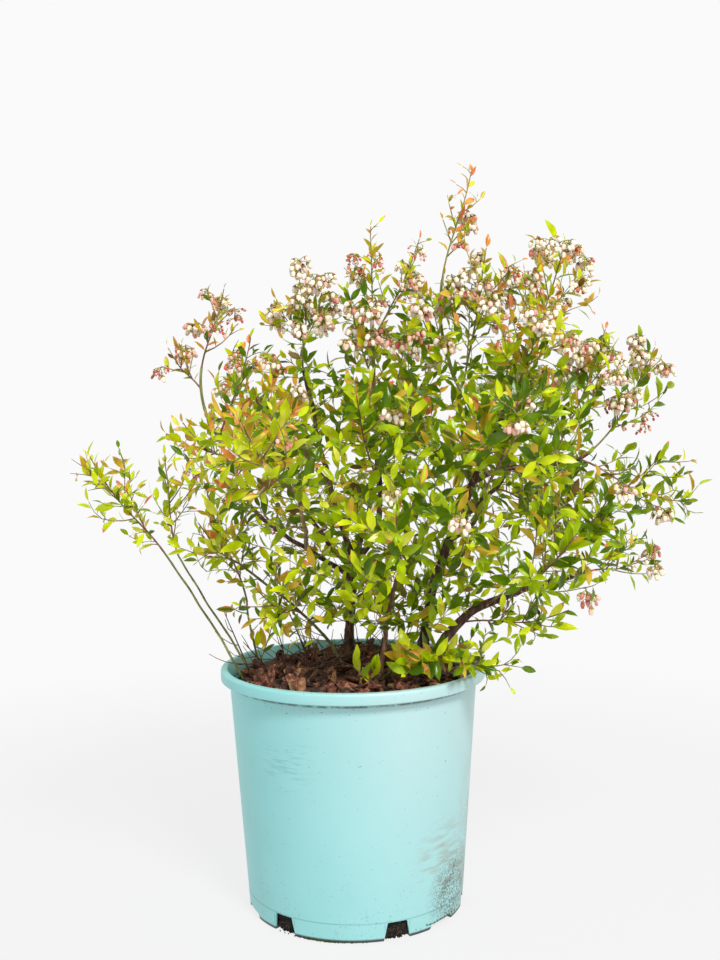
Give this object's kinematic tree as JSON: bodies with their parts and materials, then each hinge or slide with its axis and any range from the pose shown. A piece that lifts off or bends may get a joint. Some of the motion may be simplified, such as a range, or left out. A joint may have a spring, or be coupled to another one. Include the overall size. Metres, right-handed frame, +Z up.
{
  "type": "blueberry bush in a pot",
  "caption": "Flowering highbush blueberry with many thin canes, airy leafy sprays and bell flowers, in a moulded round nursery pot with a rolled rim and drain windows.",
  "frame": {"origin": "centre of the pot's flat underside", "axes": "+Z up; the front is towards -Y; +X to the right seen from the front"},
  "size_m": [0.6129, 0.4329, 0.735],
  "materials": {
    "pot_plastic": "satin pale aqua moulded plastic, lightly scuffed and dusted with soil near the foot",
    "potting_mix": "rough dark composted bark with curled brown flakes",
    "bark": "rough flaking reddish-brown bark",
    "young_bark": "smooth olive-green to tan young bark",
    "foliage": "smooth, slightly glossy green leaves with bronze young tips and cream to pink flowers"
  },
  "bodies": {
    "root": {"pot": "pot_plastic", "potting_mix": "potting_mix", "trunk_right": "bark", "trunk_left": "bark", "bough_right": "bark", "stem_centre": "bark", "stem_low_left": "young_bark", "stem_over_rim": "young_bark", "cane_left": "young_bark", "cane_left_back": "young_bark", "shoot_left": "young_bark", "bough_back": "bark", "bough_back_left": "bark", "arm_left": "bark", "arm_upper_left": "young_bark", "cane_pale": "bark", "arm_centre": "bark", "stem_upper_centre": "young_bark", "bough_front_right": "bark", "bough_front_left": "bark", "bough_back_right": "bark", "bough_upper_right": "bark", "leader": "young_bark", "spray_left_end": "foliage", "spray_left_upper": "foliage", "spray_left_shoot": "foliage", "spray_low_left": "foliage", "spray_low_front_left": "foliage", "spray_left_middle": "foliage", "spray_left_cluster": "foliage", "spray_left_spire": "foliage", "spray_left_inner": "foliage", "spray_front_left": "foliage", "spray_pale_side": "foliage", "spray_pale_top": "foliage", "spray_centre_slim": "foliage", "spray_centre_upper": "foliage", "spray_centre_tall": "foliage", "spray_centre_front": "foliage", "spray_front_low": "foliage", "spray_leader_top": "foliage", "spray_leader_left": "foliage", "spray_leader_right": "foliage", "spray_trunk_top": "foliage", "spray_trunk_front": "foliage", "spray_shoulder": "foliage", "spray_right_cluster": "foliage", "spray_right_end": "foliage", "spray_low_right": "foliage", "spray_right_middle": "foliage", "spray_front_right_low": "foliage", "spray_low_end": "foliage", "spray_over_rim": "foliage", "spray_front_right": "foliage", "spray_front_middle": "foliage", "spray_back_right": "foliage", "spray_back_right_low": "foliage", "spray_back": "foliage", "spray_back_top": "foliage", "spray_back_left": "foliage"}
  },
  "joints": []
}
